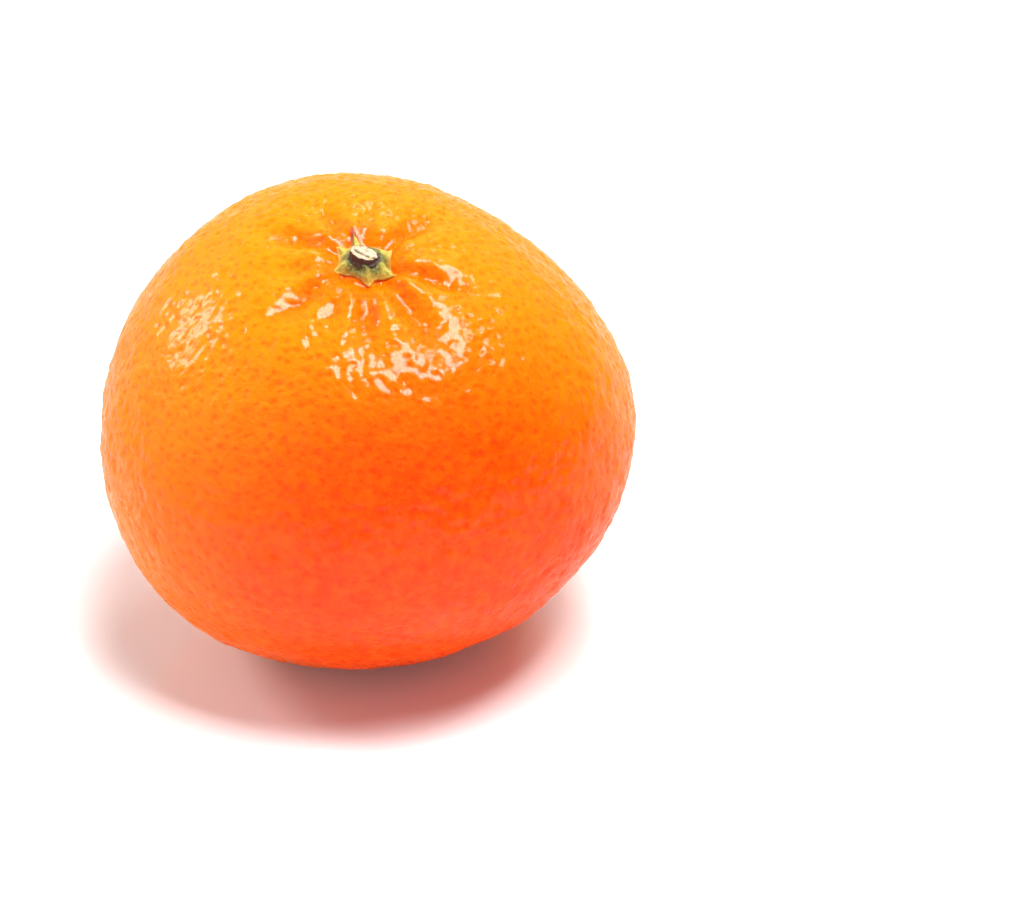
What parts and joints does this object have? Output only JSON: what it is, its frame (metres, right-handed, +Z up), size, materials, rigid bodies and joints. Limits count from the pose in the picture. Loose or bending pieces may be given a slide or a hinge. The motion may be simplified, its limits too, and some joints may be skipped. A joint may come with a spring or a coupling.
{
  "type": "mandarin",
  "caption": "Whole ripe mandarin, squat and furrowed at the stem end, with its green calyx and a cut stub of stalk.",
  "frame": {"origin": "centre of the small flat spot that the fruit rests on", "axes": "+Z up from the surface it stands on; the fruit's stem end leans towards -Y"},
  "size_m": [0.0644, 0.0635, 0.0549],
  "materials": {
    "peel": "waxy orange rind with sunken oil glands",
    "calyx": "fleshy yellow-green",
    "stalk": "dark bark with a pale cut face"
  },
  "bodies": {
    "root": {"fruit": "peel", "calyx": "calyx", "stem_stub": "stalk"}
  },
  "joints": []
}
